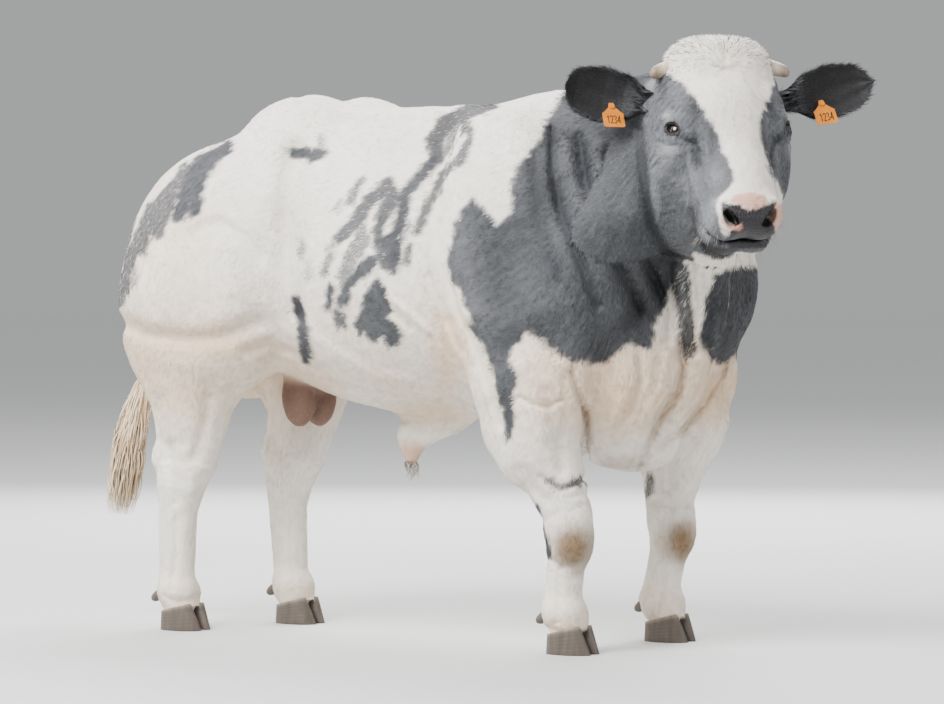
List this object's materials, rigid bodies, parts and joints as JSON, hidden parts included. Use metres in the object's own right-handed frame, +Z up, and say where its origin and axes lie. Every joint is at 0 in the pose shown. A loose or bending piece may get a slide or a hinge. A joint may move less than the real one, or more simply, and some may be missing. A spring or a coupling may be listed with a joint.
{
  "type": "belgian blue bull",
  "caption": "Life-size standing bull of a double-muscled beef breed, white with blue-grey patches, its head turned to the right.",
  "frame": {"origin": "bottom centre of the box round the whole animal, on the floor that its soles stand on", "axes": "+X forward along the trunk, +Y to the animal's left, +Z up"},
  "size_m": [2.2081, 0.79, 1.5624],
  "materials": {
    "white_coat": "short dense hair, matt",
    "blue_coat": "short dense hair, matt",
    "dark_ear": "short dark hair, matt",
    "pink_skin": "bare skin with thin hair",
    "switch_hair": "long coarse hair",
    "horn": "worn horn",
    "hoof": "dull horn",
    "eye": "wet gloss",
    "tag": "moulded, slightly worn"
  },
  "bodies": {
    "root": {"torso": "white_coat", "neck": "blue_coat", "head": "blue_coat", "horn_right": "horn", "ear_right": "dark_ear", "tag_right": "tag", "tag_pin_right": "tag", "eye_right": "eye", "horn_left": "horn", "ear_left": "dark_ear", "tag_left": "tag", "tag_pin_left": "tag", "eye_left": "eye", "foreleg_right_upper": "white_coat", "foreleg_right_lower": "white_coat", "claw_foreleg_right_right": "hoof", "dewclaw_foreleg_right_right": "hoof", "claw_foreleg_right_left": "hoof", "dewclaw_foreleg_right_left": "hoof", "foreleg_left_upper": "white_coat", "foreleg_left_lower": "white_coat", "claw_foreleg_left_right": "hoof", "dewclaw_foreleg_left_right": "hoof", "claw_foreleg_left_left": "hoof", "dewclaw_foreleg_left_left": "hoof", "hindleg_right_upper": "white_coat", "hindleg_right_lower": "white_coat", "claw_hindleg_right_right": "hoof", "dewclaw_hindleg_right_right": "hoof", "claw_hindleg_right_left": "hoof", "dewclaw_hindleg_right_left": "hoof", "hindleg_left_upper": "white_coat", "hindleg_left_lower": "white_coat", "claw_hindleg_left_right": "hoof", "dewclaw_hindleg_left_right": "hoof", "claw_hindleg_left_left": "hoof", "dewclaw_hindleg_left_left": "hoof", "tail": "white_coat", "sheath": "pink_skin", "scrotum": "pink_skin", "tail_switch": "switch_hair"}
  },
  "joints": []
}
